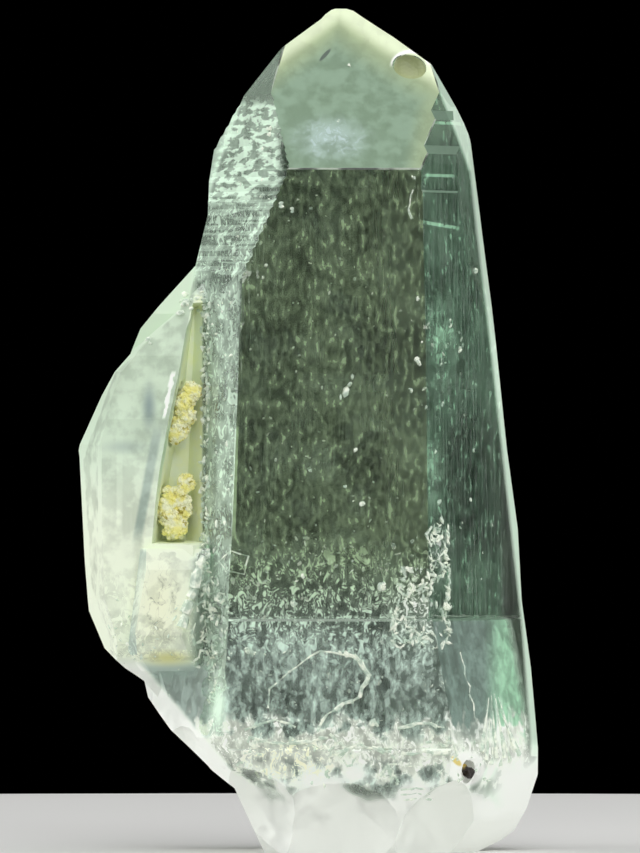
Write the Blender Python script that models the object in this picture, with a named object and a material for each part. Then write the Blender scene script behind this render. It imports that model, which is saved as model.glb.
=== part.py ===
"""Quartz crystal: a tall pointed crystal with a short one grown against its left side.

All sizes are in millimetres and the finished meshes are scaled to metres. +Z is up,
-Y is the front, and the origin is the middle of the base.

Each crystal is cut the way it grew. A face is a slab that runs along its own compass
direction, and the slab's outer edge is a growth profile: how far the face reaches out at
each height. The solid is what all of its slabs have in common.
"""
import math
import random

import bmesh
import bpy
from mathutils import Matrix, Vector

METRES_PER_MM = 0.001
HEIGHT = 40.0
LEFT_REACH = 10.93
RIGHT_REACH = 10.93
FRONT_REACH = 6.5
BACK_REACH = 6.5

# A rhombohedral face of quartz leans this far from the crystal's own axis. A growth ledge is a
# short strip of the same slope.
LEAN_ANGLE = math.radians(38.2)
LEAN = math.tan(LEAN_ANGLE)
LEFT_TOP_LEAN = 0.6
SMALLEST_LEDGE = 0.02

SLAB_SPAN = 60.0
SLAB_CORE = -30.0
CLEARANCE = 0.3
WELD = 0.004

TIP_EDGE_HEIGHT = 32.3
FRONT_AT_TIP = 6.2
TIER_HEIGHT = 11.1
BREAK_HEIGHT = 5.0

# The chip: middle, half sizes along, into and across the tip face, and its slant on that face.
CHIP_CENTRE = (4.8, -2.4, 37.25)
CHIP_RADII = (0.86, 0.5, 0.72)
CHIP_SLANT = math.radians(34.0)

# Scoops where the foot broke off, as (middle, half sizes).
BASE_SCOOPS = (
    ((-3.6, -6.6, 1.0), (3.6, 2.6, 3.2)),
    ((1.4, -8.0, 0.1), (5.0, 3.4, 3.9)),
    ((7.6, -6.0, -0.4), (3.7, 3.4, 4.0)),
    ((11.8, -1.9, -0.8), (2.6, 3.8, 3.6)),
    ((9.6, 5.2, 0.4), (3.4, 3.2, 3.4)),
    ((2.6, 8.0, 0.0), (5.0, 3.4, 3.8)),
    ((-4.2, 6.0, 0.8), (3.8, 3.2, 3.6)),
    ((-6.9, -3.9, 4.2), (2.3, 2.5, 2.1)),
)
# The rough strip of small overlapping pits low on the left flank, beside the seam: its heights,
# how far it spreads across the flank, how far the flank reaches there, and how far a pit leans.
ROUGH_HEIGHTS = (6.0, 12.4)
ROUGH_SPREAD = (1.8, 3.2)
ROUGH_REACH = 6.72
ROUGH_TAPER = 0.045
ROUGH_LEAN = 0.7
ROUGH_PITS = 16
GROOVE_FLOOR = -2.3

# The left flank of the tall crystal is two faces a few degrees apart, which meet this far
# towards the front, so that its growth ledges don't run right across.
LEFT_FLANK = -150
FLANK_SPLIT = 3.0
FLANK_MEETS = 1.8

OCHRE_GRAIN_RADIUS = (0.34, 0.5)
# The brown grain's lumps, as (middle, radius).
BROWN_LUMPS = (
    ((7.15, -4.95, 4.2), 0.19),
    ((7.36, -4.86, 4.02), 0.21),
    ((7.58, -4.74, 3.84), 0.28),
)

QUARTZ_COLOUR = (0.62, 0.72, 0.60, 1.0)
OCHRE_COLOUR = (0.62, 0.50, 0.12, 1.0)
BROWN_COLOUR = (0.06, 0.035, 0.015, 1.0)


def clear_scene():
    for item in list(bpy.data.objects):
        bpy.data.objects.remove(item)


def material(name, colour, roughness):
    made = bpy.data.materials.new(name)
    made.use_nodes = True
    shader = made.node_tree.nodes["Principled BSDF"]
    shader.inputs["Base Color"].default_value = colour
    shader.inputs["Roughness"].default_value = roughness
    shader.inputs["Metallic"].default_value = 0.0
    return made


def new_object(name, bm):
    """Turn a bmesh into a linked object with outward faces."""
    bmesh.ops.recalc_face_normals(bm, faces=bm.faces)
    mesh = bpy.data.meshes.new(name)
    bm.to_mesh(mesh)
    bm.free()
    made = bpy.data.objects.new(name, mesh)
    bpy.context.collection.objects.link(made)
    return made


def combine(target, tool, operation):
    """Join, cut or intersect target with tool, and drop the tool."""
    cut = target.modifiers.new(operation, "BOOLEAN")
    cut.operation = operation
    cut.solver = "EXACT"
    cut.object = tool
    bpy.context.view_layer.update()
    graph = bpy.context.evaluated_depsgraph_get()
    result = bpy.data.meshes.new_from_object(target.evaluated_get(graph))
    target.modifiers.clear()
    target.data = result
    bpy.data.objects.remove(tool)


def slab(azimuth, profile):
    """A face's slab: profile is (height, reach) from the bottom up, azimuth in degrees."""
    turn = math.radians(azimuth)
    out = Vector((math.cos(turn), math.sin(turn), 0.0))
    along = Vector((-math.sin(turn), math.cos(turn), 0.0)) * SLAB_SPAN
    bottom, top = profile[0][0], profile[-1][0]
    ring = list(profile) + [(top, SLAB_CORE), (bottom, SLAB_CORE)]
    bm = bmesh.new()
    corners = [bm.verts.new(out * reach + Vector((0, 0, height)) - along / 2) for height, reach in ring]
    face = bm.faces.new(corners)
    pulled = bmesh.ops.extrude_face_region(bm, geom=[face])["geom"]
    moved = [item for item in pulled if isinstance(item, bmesh.types.BMVert)]
    bmesh.ops.translate(bm, verts=moved, vec=along)
    return new_object("slab", bm)


def reach_at(envelope, height):
    """The envelope's reach at a height, between its two nearest points."""
    for (low, near), (high, far) in zip(envelope, envelope[1:]):
        if low <= height <= high:
            return near + (far - near) * (height - low) / (high - low)
    return envelope[-1][1]


def grow(envelope, bottom, top, steps, seed, wander=0.3):
    """Replace the envelope between two heights by upright risers and short sloping ledges."""
    rng = random.Random(seed)
    pitch = (top - bottom) / steps
    inner = [bottom + pitch * (k + rng.uniform(-wander, wander)) for k in range(1, steps)]
    cuts = [bottom, *inner, top]
    profile = [point for point in envelope if point[0] < bottom - 1e-6]
    for low, high in zip(cuts, cuts[1:]):
        reach = reach_at(envelope, (low + high) / 2)
        if profile:
            rise = (profile[-1][1] - reach) / LEAN
            if rise > SMALLEST_LEDGE:
                low = min(low + rise, (low + high) / 2)
        profile.append((low, reach))
        profile.append((high, reach))
    return tidy(profile + [point for point in envelope if point[0] > top + 1e-6])


def aside(envelope, degrees, pivot):
    """The envelope of a face turned by a few degrees about a line that lies pivot to one side."""
    turn = math.radians(degrees)
    return [(height, reach * math.cos(turn) + pivot * math.sin(turn)) for height, reach in envelope]


def tidy(profile):
    """Drop points that sit within a hair of the one before."""
    kept = [profile[0]]
    for height, reach in profile[1:]:
        if height > kept[-1][0] + 0.01:
            kept.append((height, reach))
    return kept


def crystal(name, slabs):
    """What all the slabs have in common."""
    made = slabs[0]
    made.name = name
    for other in slabs[1:]:
        combine(made, other, "INTERSECT")
    return made


def tall_crystal():
    """The main crystal: six prism faces, three narrow side facets and six faces at the point."""
    foot = -1.0
    summit = 41.0

    front_top = FRONT_AT_TIP - (summit - TIP_EDGE_HEIGHT) * LEAN
    front = [(foot, 4.6), (0.0, 5.0), (3.2, 6.2), (BREAK_HEIGHT - 0.1, FRONT_REACH), (BREAK_HEIGHT, 6.36),
             (TIER_HEIGHT - 0.12, 6.34), (TIER_HEIGHT, 6.22), (TIP_EDGE_HEIGHT, FRONT_AT_TIP),
             (summit, front_top)]

    right_front = [(foot, 6.6), (0.0, 7.2), (1.5, 8.3), (4.5, 9.1), (7.0, 8.9), (TIER_HEIGHT - 0.1, 8.25),
                   (TIER_HEIGHT, 8.05), (16.0, 7.98), (25.0, 7.9), (29.6, 7.83), (32.35, 7.7), (36.4, 6.85),
                   (summit, 6.85 - (summit - 36.4) * LEAN)]
    right_front = grow(right_front, 29.6, 36.4, 4, seed=3, wander=0.12)

    left_front = [(foot, 3.0), (0.0, 3.6), (3.0, 5.5), (5.5, 6.9), (9.2, 6.6), (15.0, 6.3), (20.0, 6.13),
                  (27.0, 5.94), (28.65, 5.35), (32.3, 4.01), (35.9, 3.16),
                  (summit, 3.16 - (summit - 35.9) * LEFT_TOP_LEAN)]
    left_front_near = grow(aside(left_front, FLANK_SPLIT, FLANK_MEETS), 27.0, 35.9, 24, seed=8)
    left_front_far = grow(aside(left_front, -FLANK_SPLIT, FLANK_MEETS), 27.0, 35.9, 17, seed=9)

    right_back = [(foot, 7.4), (0.0, 8.2), (1.5, 9.6), (4.0, 10.6), (8.0, 10.4), (15.0, 9.75), (22.0, 8.7),
                  (25.0, 8.4), (28.0, 8.3), (31.0, 7.97), (32.2, 7.95), (summit, 7.95 - (summit - 32.2) * LEAN)]
    right_back = grow(right_back, 6.0, 31.0, 16, seed=11)

    back = [(foot, 4.4), (0.0, 4.9), (1.5, 5.9), (4.0, BACK_REACH), (TIER_HEIGHT - 0.1, 6.4),
            (TIER_HEIGHT, 6.3), (33.9, 6.25), (summit, 6.25 - (summit - 33.9) * LEAN)]

    left_back = [(foot, 3.4), (0.0, 4.0), (2.5, 5.3), (5.0, 6.9), (8.0, 7.6), (12.0, 7.3), (20.0, 6.6),
                 (27.0, 5.6), (31.0, 4.75), (32.6, 4.72), (summit, 4.72 - (summit - 32.6) * LEAN)]
    left_back = grow(left_back, 8.0, 31.0, 12, seed=17)

    right_strip = [(foot, 11.5), (22.0, 9.3), (25.0, 8.6), (28.0, 7.95), (31.0, 7.62), (34.0, 7.5),
                   (34.6, 7.35), (35.3, 7.1), (summit, 4.5)]
    right_rim = [(foot, 7.0), (0.0, 8.08), (0.5, 9.2), (1.0, 9.83), (2.0, 10.4), (3.6, RIGHT_REACH),
                 (4.9, RIGHT_REACH), (8.7, 10.6), (11.9, 10.17), (15.3, 9.98), (19.1, 9.45), (25.8, 8.74),
                 (31.4, 8.03), (34.6, 7.6), (35.2, 7.36), (36.5, 6.6), (37.6, 5.6), (39.5, 2.72), (39.9, 2.15),
                 (40.05, 1.65), (summit, 1.5)]
    left_rim = [(foot, 1.4), (0.0, 2.04), (3.1, 3.47), (3.9, 4.5), (5.8, 6.5), (6.5, 7.03), (7.3, 7.6),
                (8.1, 7.79), (20.0, 6.6), (27.8, 5.32), (30.2, 4.75), (31.8, 4.7), (33.6, 4.42),
                (35.8, 3.14), (38.1, 1.25), (39.5, -0.62), (39.9, -0.98), (40.05, -1.45), (summit, -1.6)]
    faces = ((-90, front), (-30, right_front), (LEFT_FLANK + FLANK_SPLIT, left_front_near),
             (LEFT_FLANK - FLANK_SPLIT, left_front_far), (30, right_back), (90, back), (150, left_back),
             (-12, right_strip), (0, right_rim), (180, left_rim))
    return crystal("quartz", [slab(azimuth, profile) for azimuth, profile in faces])


def short_crystal():
    """The outer of the two short crystals, turned 15 degrees from the tall one."""
    foot = 5.0
    summit = 30.0
    left = [(foot, 5.2), (8.1, 7.79), (8.7, 8.65), (9.64, 9.64), (11.4, 10.4), (13.8, 10.6), (18.7, 10.85),
            (19.3, LEFT_REACH), (21.6, 10.17), (22.75, 9.55), (23.66, 8.4), (25.5, 6.3), (26.3, 5.6),
            (summit, 2.0)]
    left_front = [(foot, 8.2), (9.6, 9.6), (12.0, 10.3), (19.3, 10.53), (21.6, 9.9), (22.75, 9.45),
                  (summit, 9.45 - (summit - 22.75) * LEAN)]
    front = [(foot, 1.4), (8.4, 3.0), (9.2, 5.2), (10.0, 6.1), (11.0, 6.35), (20.5, 6.41), (23.5, 5.7),
             (26.4, 4.5), (summit, 2.0)]
    right_front = [(foot, -1.6), (9.0, -1.0), (10.8, -0.75), (14.0, -0.2), (summit, -0.1)]
    right = [(foot, -4.6), (summit, -4.6)]
    left_back = [(foot, 6.0), (9.0, 7.2), (12.0, 7.75), (19.0, 7.72), (summit, 7.72 - (summit - 19.0) * LEAN)]
    back = [(foot, 0.2), (9.0, 1.2), (21.0, 1.5), (summit, 1.5 - (summit - 21.0) * LEAN)]
    front = grow(front, 11.0, 20.5, 3, seed=23)
    left_back = grow(left_back, 12.0, 19.0, 4, seed=29)
    faces = ((180, left), (-165, left_front), (-105, front), (-45, right_front), (0, right),
             (135, left_back), (75, back))
    return crystal("short", [slab(azimuth, profile) for azimuth, profile in faces])


def middle_crystal():
    """The slimmer one behind it, whose shoulder stands above the outer one's notch."""
    foot = 6.0
    summit = 32.0
    left = [(foot, 6.5), (12.0, 8.1), (23.65, 8.4), (24.8, 7.93), (25.84, 7.08), (27.7, 5.4), (summit, 1.5)]
    left_front = [(foot, 6.4), (12.0, 8.3), (24.6, 8.45), (summit, 8.45 - (summit - 24.6) * LEAN)]
    front = [(foot, 3.2), (12.0, 3.8), (25.5, 3.85), (28.0, 3.0), (summit, 0.0)]
    right = [(foot, -3.0), (summit, -3.0)]
    left_back = [(foot, 6.0), (12.0, 7.0), (23.6, 7.2), (summit, 7.2 - (summit - 23.6) * LEAN)]
    back = [(foot, 1.0), (12.0, 2.0), (24.5, 2.2), (summit, 2.2 - (summit - 24.5) * LEAN)]
    faces = ((180, left), (-165, left_front), (-105, front), (0, right), (135, left_back), (75, back))
    return crystal("middle", [slab(azimuth, profile) for azimuth, profile in faces])


def wedge(name, near, far, near_depth, far_depth):
    """A block between two outlines of (x, z) points, the near one in front of the far one."""
    bm = bmesh.new()
    rings = []
    for outline, depth in ((near, near_depth), (far, far_depth)):
        rings.append([bm.verts.new((x, depth, z)) for x, z in outline])
        bm.faces.new(rings[-1])
    for k in range(len(near)):
        bm.faces.new((rings[0][k - 1], rings[0][k], rings[1][k], rings[1][k - 1]))
    return new_object(name, bm)


def groove():
    """The gap beside the tall crystal: pointed at the top, and wider down to its ledge."""
    near = [(-5.6, 26.6), (-6.1, 25.0), (-6.7, 21.4), (-7.35, 18.1), (-7.7, 14.5), (-3.0, 14.3), (-3.0, 26.6)]
    far = [(-5.4, 25.8), (-5.55, 24.6), (-5.9, 21.4), (-6.5, 18.1), (-6.95, 14.8), (-3.0, 14.8), (-3.0, 25.8)]
    return wedge("groove", near, far, -6.4, GROOVE_FLOOR)


def groove_block():
    """The pale block below the groove, whose top is the ledge that the lower crust sits on."""
    foot = 8.6
    summit = 14.4
    front = [(foot, 3.9), (9.3, 5.1), (10.3, 5.6), (13.4, 5.35), (summit, 5.0)]
    left = [(foot, 7.9), (9.6, 8.5), (summit, 7.9)]
    left_front = [(foot, 8.4), (9.4, 9.55), (10.4, 9.85), (summit, 9.1)]
    right_front = [(foot, -0.75), (9.3, -0.35), (10.8, -0.2), (summit, 0.3)]
    right = [(foot, -4.6), (summit, -4.6)]
    back = [(foot, 1.0), (summit, 1.0)]
    faces = ((-90, front), (180, left), (-150, left_front), (-45, right_front), (0, right), (90, back))
    return crystal("block", [slab(azimuth, profile) for azimuth, profile in faces])


def ball(centre, radii, detail=3, turn=None):
    """A faceted ball stretched to three radii."""
    bm = bmesh.new()
    bmesh.ops.create_icosphere(bm, subdivisions=detail, radius=1.0)
    bmesh.ops.scale(bm, verts=bm.verts, vec=Vector(radii))
    if turn is not None:
        bmesh.ops.rotate(bm, verts=bm.verts, cent=Vector(), matrix=turn)
    bmesh.ops.translate(bm, verts=bm.verts, vec=Vector(centre))
    return new_object("ball", bm)


def break_base(body):
    """Shell-shaped scoops round the foot, as quartz breaks."""
    for centre, radii in BASE_SCOOPS:
        combine(body, ball(centre, radii), "DIFFERENCE")


def roughen_seam(body):
    """Small overlapping pits low on the left flank, in a strip beside the seam."""
    rng = random.Random(41)
    turn = math.radians(LEFT_FLANK)
    out = Vector((math.cos(turn), math.sin(turn), 0.0))
    across = Vector((-math.sin(turn), math.cos(turn), 0.0))
    low, high = ROUGH_HEIGHTS
    for k in range(ROUGH_PITS):
        height = low + (high - low) * (k + rng.uniform(0.0, 0.8)) / ROUGH_PITS
        reach = ROUGH_REACH - ROUGH_TAPER * (height - low)
        centre = out * reach + across * rng.uniform(*ROUGH_SPREAD) + Vector((0.0, 0.0, height))
        radii = (rng.uniform(0.24, 0.36), rng.uniform(0.36, 0.62), rng.uniform(0.45, 0.95))
        lean = Matrix.Rotation(rng.uniform(-ROUGH_LEAN, ROUGH_LEAN), 3, "X")
        lean = Matrix.Rotation(turn, 3, "Z") @ lean
        combine(body, ball(centre, radii, detail=2, turn=lean), "DIFFERENCE")


def grain_places(count, seed, low, high, spread):
    """Ochre grains that climb from low to high, as (middle, radius)."""
    rng = random.Random(seed)
    places = []
    for k in range(count):
        share = k / (count - 1)
        middle = Vector(low).lerp(Vector(high), share)
        drift = Vector([rng.uniform(-1, 1) * span for span in spread]) * (1.1 - 0.6 * share)
        places.append((middle + drift, rng.uniform(*OCHRE_GRAIN_RADIUS) * (1.1 - 0.3 * share)))
    return places


def crust(name, places):
    """Overlapping grains joined into one lump."""
    lump = ball(places[0][0], (places[0][1],) * 3, detail=2)
    for centre, radius in places[1:]:
        combine(lump, ball(centre, (radius,) * 3, detail=2), "UNION")
    lump.name = name
    return lump


def seat(body, places):
    """Hollow the quartz behind a crust, so that it lies clear by the usual gap."""
    for centre, radius in places:
        combine(body, ball(centre, (radius + CLEARANCE,) * 3, detail=2), "DIFFERENCE")


def build_quartz():
    short = short_crystal()
    combine(short, middle_crystal(), "UNION")
    combine(short, groove(), "DIFFERENCE")
    combine(short, groove_block(), "UNION")
    body = tall_crystal()
    combine(body, short, "UNION")
    slant = Matrix.Rotation(-LEAN_ANGLE, 3, "X") @ Matrix.Rotation(CHIP_SLANT, 3, "Y")
    combine(body, ball(CHIP_CENTRE, CHIP_RADII, turn=slant), "DIFFERENCE")
    break_base(body)
    roughen_seam(body)
    above_base = slab(90, [(0.0, SLAB_SPAN / 2), (HEIGHT, SLAB_SPAN / 2)])
    combine(body, above_base, "INTERSECT")
    return body


def drop_chips(bm):
    """Keep the largest connected piece, and delete any splinter that a cut set free."""
    left = set(bm.faces)
    pieces = []
    while left:
        queue = [left.pop()]
        piece = set(queue)
        while queue:
            face = queue.pop()
            for edge in face.edges:
                for other in edge.link_faces:
                    if other in left:
                        left.remove(other)
                        piece.add(other)
                        queue.append(other)
        pieces.append(piece)
    pieces.sort(key=len)
    for piece in pieces[:-1]:
        bmesh.ops.delete(bm, geom=list(piece), context="FACES")


def finish(item, look):
    """Weld what the cuts left, turn faces out and scale to metres."""
    bm = bmesh.new()
    bm.from_mesh(item.data)
    drop_chips(bm)
    bmesh.ops.remove_doubles(bm, verts=bm.verts, dist=WELD)
    bmesh.ops.dissolve_degenerate(bm, edges=bm.edges, dist=WELD)
    bmesh.ops.triangulate(bm, faces=bm.faces)
    bmesh.ops.recalc_face_normals(bm, faces=bm.faces)
    bmesh.ops.scale(bm, verts=bm.verts, vec=Vector((METRES_PER_MM,) * 3))
    bm.to_mesh(item.data)
    bm.free()
    item.data.materials.clear()
    item.data.materials.append(look)


def build():
    clear_scene()
    clear_quartz = material("clear_quartz", QUARTZ_COLOUR, 0.05)
    ochre = material("ochre_crust", OCHRE_COLOUR, 0.85)
    brown = material("brown_mineral", BROWN_COLOUR, 0.6)

    upper = grain_places(9, 31, (-5.9, -3.4, 19.9), (-5.6, -3.55, 22.0), (0.32, 0.12, 0.2))
    lower = grain_places(12, 37, (-6.55, -3.45, 15.25), (-5.95, -3.5, 17.5), (0.6, 0.12, 0.2))
    quartz = build_quartz()
    seat(quartz, upper + lower + list(BROWN_LUMPS))
    finish(quartz, clear_quartz)
    finish(crust("ochre_crust_upper", upper), ochre)
    finish(crust("ochre_crust_lower", lower), ochre)
    finish(crust("brown_grain", BROWN_LUMPS), brown)


build()
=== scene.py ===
import math
import random

import bmesh
import bpy
from mathutils import Matrix, Vector, noise
from mathutils.bvhtree import BVHTree


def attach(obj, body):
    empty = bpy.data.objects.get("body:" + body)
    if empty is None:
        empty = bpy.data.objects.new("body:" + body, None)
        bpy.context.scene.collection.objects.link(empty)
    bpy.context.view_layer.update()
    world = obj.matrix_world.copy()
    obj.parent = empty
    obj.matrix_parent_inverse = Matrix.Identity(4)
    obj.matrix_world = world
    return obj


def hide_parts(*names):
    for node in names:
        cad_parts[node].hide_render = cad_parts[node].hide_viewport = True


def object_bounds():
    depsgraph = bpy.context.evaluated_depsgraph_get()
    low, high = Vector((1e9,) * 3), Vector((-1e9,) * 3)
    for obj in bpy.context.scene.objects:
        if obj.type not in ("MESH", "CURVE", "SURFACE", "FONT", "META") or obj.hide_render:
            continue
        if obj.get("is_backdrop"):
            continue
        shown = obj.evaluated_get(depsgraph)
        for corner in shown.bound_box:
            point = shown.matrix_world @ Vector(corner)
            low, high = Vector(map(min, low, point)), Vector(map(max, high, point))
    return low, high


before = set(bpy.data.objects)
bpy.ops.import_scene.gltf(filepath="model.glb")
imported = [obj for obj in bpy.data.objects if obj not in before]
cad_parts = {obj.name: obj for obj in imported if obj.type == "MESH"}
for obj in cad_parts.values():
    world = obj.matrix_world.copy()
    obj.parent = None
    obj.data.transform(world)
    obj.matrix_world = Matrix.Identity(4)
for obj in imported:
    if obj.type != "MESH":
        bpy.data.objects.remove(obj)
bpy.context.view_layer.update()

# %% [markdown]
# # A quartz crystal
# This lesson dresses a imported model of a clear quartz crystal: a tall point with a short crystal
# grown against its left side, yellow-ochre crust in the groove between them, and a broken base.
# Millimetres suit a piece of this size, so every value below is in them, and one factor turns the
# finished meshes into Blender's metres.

MM = 0.001

# %% [markdown]
# ## Shader maths
# A pattern is a long sum of small masks. It could be wired up by hand, node by node, but a formula is
# easier to read and to change. This class wraps one output of a node, and each sum or product that
# it takes part in adds the Math node for it.

# %% A socket that can be calculated with
class Wire:
    """An output of a shader node. Sums and products of wires add their Math nodes."""

    def __init__(self, tree, socket=None):
        self.tree, self.socket = tree, socket

    def node(self, kind, settings=None, sockets=None, out=0):
        """Adds a node: its settings first, then a value or a wire for each of its sockets."""
        made = self.tree.nodes.new(kind)
        for name, value in (settings or {}).items():
            setattr(made, name, value)
        for name, value in (sockets or {}).items():
            if isinstance(value, Wire):
                self.tree.links.new(value.socket, made.inputs[name])
            else:
                made.inputs[name].default_value = value
        return Wire(self.tree, made.outputs[out] if len(made.outputs) else None)

    def parts(self):
        """The three numbers of a vector."""
        first = self.node("ShaderNodeSeparateXYZ", {}, {0: self})
        return [Wire(self.tree, output) for output in first.socket.node.outputs]

    def calc(self, operation, first, second=0.0):
        return self.node("ShaderNodeMath", {"operation": operation}, {0: first, 1: second})

    def __add__(self, other):
        return self.calc("ADD", self, other)

    def __sub__(self, other):
        return self.calc("SUBTRACT", self, other)

    def __rsub__(self, other):
        return self.calc("SUBTRACT", other, self)

    def __mul__(self, other):
        return self.calc("MULTIPLY", self, other)

    def __abs__(self):
        return self.calc("ABSOLUTE", self)

    __radd__, __rmul__ = __add__, __mul__

    def most(self, other):
        return self.calc("MAXIMUM", self, other)

    def rise(self, start, end):
        """0 below start, 1 above end, and an even curve between. It falls where start is the larger."""
        return self.node(
            "ShaderNodeMapRange",
            {"interpolation_type": "SMOOTHSTEP"},
            {"Value": self, "From Min": start, "From Max": end},
        )

    def clamp(self):
        return self.node("ShaderNodeClamp", {}, {"Value": self})


# %% [markdown]
# ## A place to measure from
# Every pattern reads Object coordinates, which are the piece's own metres, so it stays with the piece
# in any view. These helpers turn them into what the finishes need: a point in millimetres, grain of
# a given size, and soft-edged ovals, lines and bands as they are seen from the front.

# %% Where a point is, and grain
def new_finish(name):
    """A new material, and the wire that its nodes are added through."""
    material = bpy.data.materials.new(name)
    material.use_nodes = True
    material.node_tree.nodes.clear()
    return material, Wire(material.node_tree)


def tell_nodes(step, paint):
    """Prints how many nodes a finish has after a step."""
    print(f"{step}: {len(paint.tree.nodes)} nodes so far")


def point_mm(paint):
    """The shaded point in millimetres."""
    metres = paint.node("ShaderNodeTexCoord", out="Object")
    return paint.node("ShaderNodeVectorMath", {"operation": "SCALE"}, {0: metres, "Scale": 1 / MM})


def grain(point, per_mm, stretch=(1, 1, 1), detail=2.0, bend=0.0):
    """Noise with about per_mm specks to a millimetre, finer along the axes with a larger stretch."""
    placed = point.node("ShaderNodeMapping", {}, {"Vector": point, "Scale": stretch})
    return placed.node(
        "ShaderNodeTexNoise",
        {},
        {"Vector": placed, "Scale": per_mm, "Detail": detail, "Distortion": bend},
    )


def tint(paint, colour, other, share):
    """Mixes a colour into another one by a mask."""
    first, second = [c if isinstance(c, Wire) else (*c, 1.0) for c in (colour, other)]
    return paint.node("ShaderNodeMix", {"data_type": "RGBA"}, {0: share, 6: first, 7: second}, out=2)


# %% Ovals, lines and bands
def oval(point, across, up, half_wide, half_tall, lean=0.0):
    """1 in the middle of an oval seen from the front, fading to 0 at its edge. It leans in degrees."""
    middle = (across, 0.0, up)
    turned = point.node(
        "ShaderNodeVectorRotate",
        {"rotation_type": "Y_AXIS"},
        {"Vector": point, "Center": middle, "Angle": math.radians(lean)},
    )
    offset = point.node("ShaderNodeVectorMath", {"operation": "SUBTRACT"}, {0: turned, 1: middle})
    shape = point.node(
        "ShaderNodeVectorMath",
        {"operation": "MULTIPLY"},
        {0: offset, 1: (1 / half_wide, 0.0, 1 / half_tall)},
    )
    length = point.node("ShaderNodeVectorMath", {"operation": "LENGTH"}, {0: shape}, out="Value")
    return length.rise(1.0, 0.0)


def within(value, low, high, soft=0.25):
    """1 between low and high, with soft ends."""
    return value.rise(low - soft, low + soft) * value.rise(high + soft, high - soft)


def stripe(value, middle, half):
    """A thin line where the value is near its middle."""
    return abs(value - middle).rise(half, half * 0.4)


def beside(x, z, start, end):
    """How far a point lies to the right of the line from start to end, seen from the front."""
    run, climb = end[0] - start[0], end[1] - start[1]
    length = math.hypot(run, climb)
    return (x - start[0]) * (climb / length) - (z - start[1]) * (run / length)

# %% [markdown]
# ## The quartz itself
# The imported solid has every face, growth ledge and pit in its place, but its edges are perfectly
# sharp. Round the point of the real one they are very slightly worn and catch the light as a thin
# bright line, while the upright ones are crisp. Bevelling all edges would tangle the tiny ones where
# ledges meet, so only long edges between large faces are bevelled, on a merged copy. The narrow new
# faces get a finish of their own, and so do the rear faces.

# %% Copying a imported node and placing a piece
WELD = 0.004
FLAT_WITHIN = math.radians(0.6)


def millimetre_copy(source):
    """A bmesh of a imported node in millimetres, with its loose triangles merged into whole faces."""
    copy = bmesh.new()
    copy.from_mesh(source.data)
    bmesh.ops.scale(copy, vec=(1 / MM,) * 3, verts=copy.verts)
    bmesh.ops.remove_doubles(copy, verts=copy.verts, dist=WELD)
    bmesh.ops.dissolve_limit(copy, angle_limit=FLAT_WITHIN, verts=copy.verts, edges=copy.edges)
    return copy


def place_piece(name, bm, slot, *finishes):
    """Turns a bmesh in millimetres into a finished object that rides on the crystal's body."""
    bmesh.ops.scale(bm, vec=(MM,) * 3, verts=bm.verts)
    data = bpy.data.meshes.new(name)
    bm.to_mesh(data)
    bm.free()
    piece = bpy.data.objects.new(name, data)
    bpy.context.scene.collection.objects.link(piece)
    for finish in finishes:
        data.materials.append(finish)
    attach(piece, "root")
    data.calc_loop_triangles()
    print(f"{name}: {len(data.loop_triangles)} triangles")
    return piece


# %% Which edges are worn
WORN_LENGTH = 0.8
WORN_ANGLE = math.radians(20.0)
WORN_FACE_AREA = 1.5
WORN_LOWEST = 11.3
REACH_BELOW = 0.3
WORN_LEFTMOST, WORN_RIGHTMOST = -4.2, 6.5
UPRIGHT = 0.9


def is_worn(edge):
    """Whether an edge is long, clearly bent, not upright, and between large faces of the front."""
    large = all(face.calc_area() > WORN_FACE_AREA for face in edge.link_faces)
    ends = [v.co for v in edge.verts]
    inside = all(WORN_LEFTMOST < end.x < WORN_RIGHTMOST for end in ends)
    high = min(end.z for end in ends) > WORN_LOWEST - REACH_BELOW
    high = high and max(end.z for end in ends) > WORN_LOWEST
    leaning = abs((ends[1] - ends[0]).normalized().z) < UPRIGHT
    bent = edge.calc_length() > WORN_LENGTH and edge.calc_face_angle() > WORN_ANGLE
    return large and inside and high and leaning and bent


quartz_shape = millimetre_copy(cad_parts["quartz"])
worn_edges = [edge for edge in quartz_shape.edges if is_worn(edge)]
print("worn edges:", len(worn_edges))

# %% Bevelling them, and a finish for every face
EDGE_WEAR = 0.05
REAR_NORMAL = -0.05
BREAK = 5.0
SCOOP_BLEND = math.radians(24.0)

worn = bmesh.ops.bevel(
    quartz_shape,
    geom=worn_edges,
    offset=EDGE_WEAR,
    affect="EDGES",
    segments=1,
    profile=0.5,
    material=-1,
)
for face in quartz_shape.faces:
    at_rear = face.normal.y > REAR_NORMAL and face.calc_center_median().y > 0.0
    face.smooth = True
    face.material_index = 2 if at_rear else 0
for face in worn["faces"]:
    face.material_index = 1
for edge in quartz_shape.edges:
    in_break = max(v.co.z for v in edge.verts) < BREAK
    edge.smooth = edge.calc_face_angle() < (SCOOP_BLEND if in_break else FLAT_WITHIN)
surface_tree = BVHTree.FromBMesh(quartz_shape)
finish_numbers = [face.material_index for face in quartz_shape.faces]
print("front, worn and rear faces:", [finish_numbers.count(number) for number in range(3)])

# %% [markdown]
# ## The clear quartz finish
# Quartz is a clear stone of refractive index 1.544 with a faint green-grey cast here. Glass alone
# would show only its surroundings. What the eye sees on the real one is also a pale matt film on part
# of the surface: etched growth ledges, the frosted point, dust and healed cracks. So a matt film is
# mixed over the glass, and its share is the sum of named masks, each for one region.

# %% Glass with a film over it
QUARTZ_IOR = 1.544
CAST = (0.82, 0.87, 0.82, 1.0)
CAST_PER_METRE = 46.0


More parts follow.
